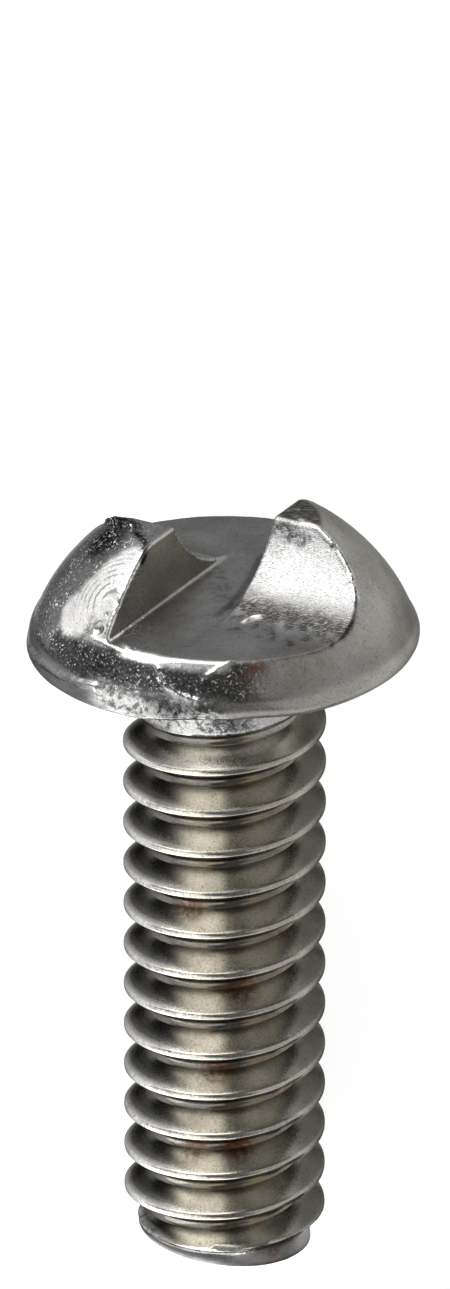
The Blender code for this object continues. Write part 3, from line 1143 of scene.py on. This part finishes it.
def steel_colour(nodes, patterns, stained_and_shaded):
    """The tone, warm on the shank and the right of the head, tinted in the roots and brown in the stains and
    in the painted shade of the rim's hollow.
    """
    hue = nodes.blend(nodes.mask("warm"), PLAIN_HUE, WARM_HUE)
    colour = nodes.scale(hue, steel_tone(nodes, patterns))
    tinted = nodes.times(nodes.mask("tinted"), nodes.remap(patterns["patches"], 0.42, 0.62, 0.0, 0.45))
    return nodes.blend(stained_and_shaded, nodes.blend(tinted, colour, ROOT_TINT), STAIN_AND_SHADE_COLOUR)


def steel_gloss(nodes, patterns, stained_and_shaded):
    """The zone's roughness, uneven everywhere and more in the stains and in the painted shade of the rim's
    hollow.
    """
    gloss = nodes.plus(nodes.mask("roughness"), nodes.remap(patterns["grain"], 0.3, 0.7, -0.03, 0.05))
    return nodes.plus(gloss, nodes.times(stained_and_shaded, 0.2))


def steel_bump(nodes, patterns):
    """The fine relief of the steel."""
    relief = 0.0
    for pattern, mask, height in RELIEF:
        part = nodes.times(patterns[pattern], height)
        if mask is not None:
            part = nodes.times(part, nodes.mask(mask))
        relief = nodes.plus(relief, part)
    return nodes.add("ShaderNodeBump", {"Strength": 1.0, "Distance": MM / 1000, "Height": relief})


def steel_material():
    """Stainless steel whose tone, gloss and texture follow the zones kept on the mesh."""
    material, nodes, shader = new_material("stainless_steel")
    patterns = steel_patterns(nodes)
    # Brown of the stains and of the painted shade in the rim's hollow
    stained_and_shaded = nodes.times(nodes.mask("stain"), nodes.remap(patterns["speck"], 0.35, 0.6, 0.15, 1.0))
    nodes.fill(shader, {
        "Base Color": steel_colour(nodes, patterns, stained_and_shaded),
        "Roughness": steel_gloss(nodes, patterns, stained_and_shaded),
        "Normal": steel_bump(nodes, patterns),
        "Metallic": 1.0,
        "Specular Tint": grey(GRAZING_GREY),
    })
    return material


def matt_panel(name, corners, level):
    """A flat panel with this grey, and the nodes and the shader of its material."""
    mesh = bpy.data.meshes.new(name)
    mesh.from_pydata(corners, [], [(0, 1, 2, 3)])
    material, nodes, shader = new_material(name)
    nodes.fill(shader, {"Base Color": grey(level), "Roughness": MATT})
    mesh.materials.append(material)
    return placed_object(name, mesh), nodes, shader


def make_floor():
    """A pale floor that looks white to the camera and in the steel, and still takes the screw's shadow."""
    corners = [(x * FLOOR_REACH, y * FLOOR_REACH, 0) for x, y in ((-1, -1), (1, -1), (1, 1), (-1, 1))]
    floor, nodes, shader = matt_panel("floor", corners, FLOOR_GREY)
    floor.location.z = -FLOOR_DROP * MM
    path = nodes.tree.nodes.new("ShaderNodeLightPath").outputs
    seen = nodes.calculate("MAXIMUM", path["Is Camera Ray"], path["Is Glossy Ray"])
    seen = nodes.calculate("MAXIMUM", seen, path["Is Transmission Ray"])
    nodes.fill(shader, {
        "Specular IOR Level": 0.0,
        "Emission Color": grey(1.0),
        "Emission Strength": nodes.times(seen, FLOOR_GLOW),
    })


def make_key(name, distance, middle, width, height, brightness):
    """A lit panel, left of the pair's edge."""
    data = bpy.data.lights.new(name, "AREA")
    data.shape = "RECTANGLE"
    data.size, data.size_y = width * MM, height * MM
    data.energy = brightness * math.pi * data.size * data.size_y
    lamp = placed_object(name, data)
    lamp.location = Vector((middle - width / 2, distance, height / 2)) * MM
    lamp.rotation_euler = Vector((0.0, distance, 0.0)).to_track_quat("Z", "Y").to_euler()
    lamp.visible_camera = False


def make_dark_panel(name, distance, middle, width, height):
    """A dark panel, right of the pair's edge."""
    corners = [(0, 0, 0), (width * MM, 0, 0), (width * MM, 0, height * MM), (0, 0, height * MM)]
    panel, _, _ = matt_panel(name, corners, DARK_PANEL_GREY)
    panel.location = Vector((middle, distance, 0.0)) * MM
    panel.visible_camera = False
    panel.visible_shadow = False


def make_world():
    """The studio around the screw: an even level, with brighter and darker screens in it."""
    world = bpy.data.worlds.new("studio")
    bpy.context.scene.world = world
    world.use_nodes = True
    nodes = Nodes(world.node_tree)
    direction = nodes.add("ShaderNodeTexCoord", {}, "Generated")
    x, y, z = (nodes.add("ShaderNodeSeparateXYZ", {0: direction}, axis) for axis in "XYZ")
    azimuth = nodes.times(nodes.calculate("ARCTAN2", x, y), 180 / math.pi)
    elevation = nodes.times(nodes.calculate("ARCSINE", z), 180 / math.pi)

    def within(value, low, high, soft):
        rise = nodes.remap(value, low - soft / 2, low + soft / 2)
        return nodes.calculate("SUBTRACT", rise, nodes.remap(value, high - soft / 2, high + soft / 2))

    level = STUDIO_LEVEL
    for left, right, low, high, soft, brightness in STUDIO_SCREENS.values():
        cover = nodes.times(within(azimuth, left, right, soft), within(elevation, low, high, soft))
        level = nodes.plus(level, nodes.times(cover, nodes.calculate("SUBTRACT", brightness, level)))
    nodes.fill(nodes.tree.nodes["Background"], {"Color": grey(1.0), "Strength": level})


def make_camera():
    """The photograph's camera, laid down with the screw."""
    up, back = (laying_turn(3) @ Vector(axis) for axis in view_axes())
    right = up.cross(back)
    aim = Vector(BEARING_FACE)
    aim += right * (PICTURE_WIDTH / 2 - AXIS_PIXEL) * MM_PER_PIXEL
    aim += up * (BEARING_PIXEL - PICTURE_HEIGHT / 2) * MM_PER_PIXEL
    distance = PICTURE_HEIGHT * MM_PER_PIXEL * LENS / SENSOR
    data = bpy.data.cameras.new("camera")
    data.lens = LENS
    data.sensor_width = SENSOR
    data.clip_start = NEAREST_SEEN
    data.clip_end = FARTHEST_SEEN
    camera = placed_object("camera", data)
    place = Matrix((right, up, back)).transposed().to_4x4()
    place.translation = (aim + back * distance) * MM
    camera.matrix_world = place
    bpy.context.scene.camera = camera


screw = joined(head_object(), closed_object("screw_shank", *shank_mesh()))
screw.name = "screw"
mark_zones(screw.data)
lay_down(screw.data)
screw.data.shade_smooth()
screw.data.set_sharp_from_angle(angle=math.radians(SHARP_ANGLE))
screw.data.materials.clear()
screw.data.materials.append(steel_material())

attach(screw, "root")
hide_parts("machine_screw")

make_floor()
make_world()
for pair, (distance, middle, width, height, brightness) in PANELS.items():
    make_key(pair, distance, middle, width, height, brightness)
    make_dark_panel(pair + " dark panel", distance, middle, width, height)
make_camera()
bpy.context.scene.view_settings.view_transform = "Standard"
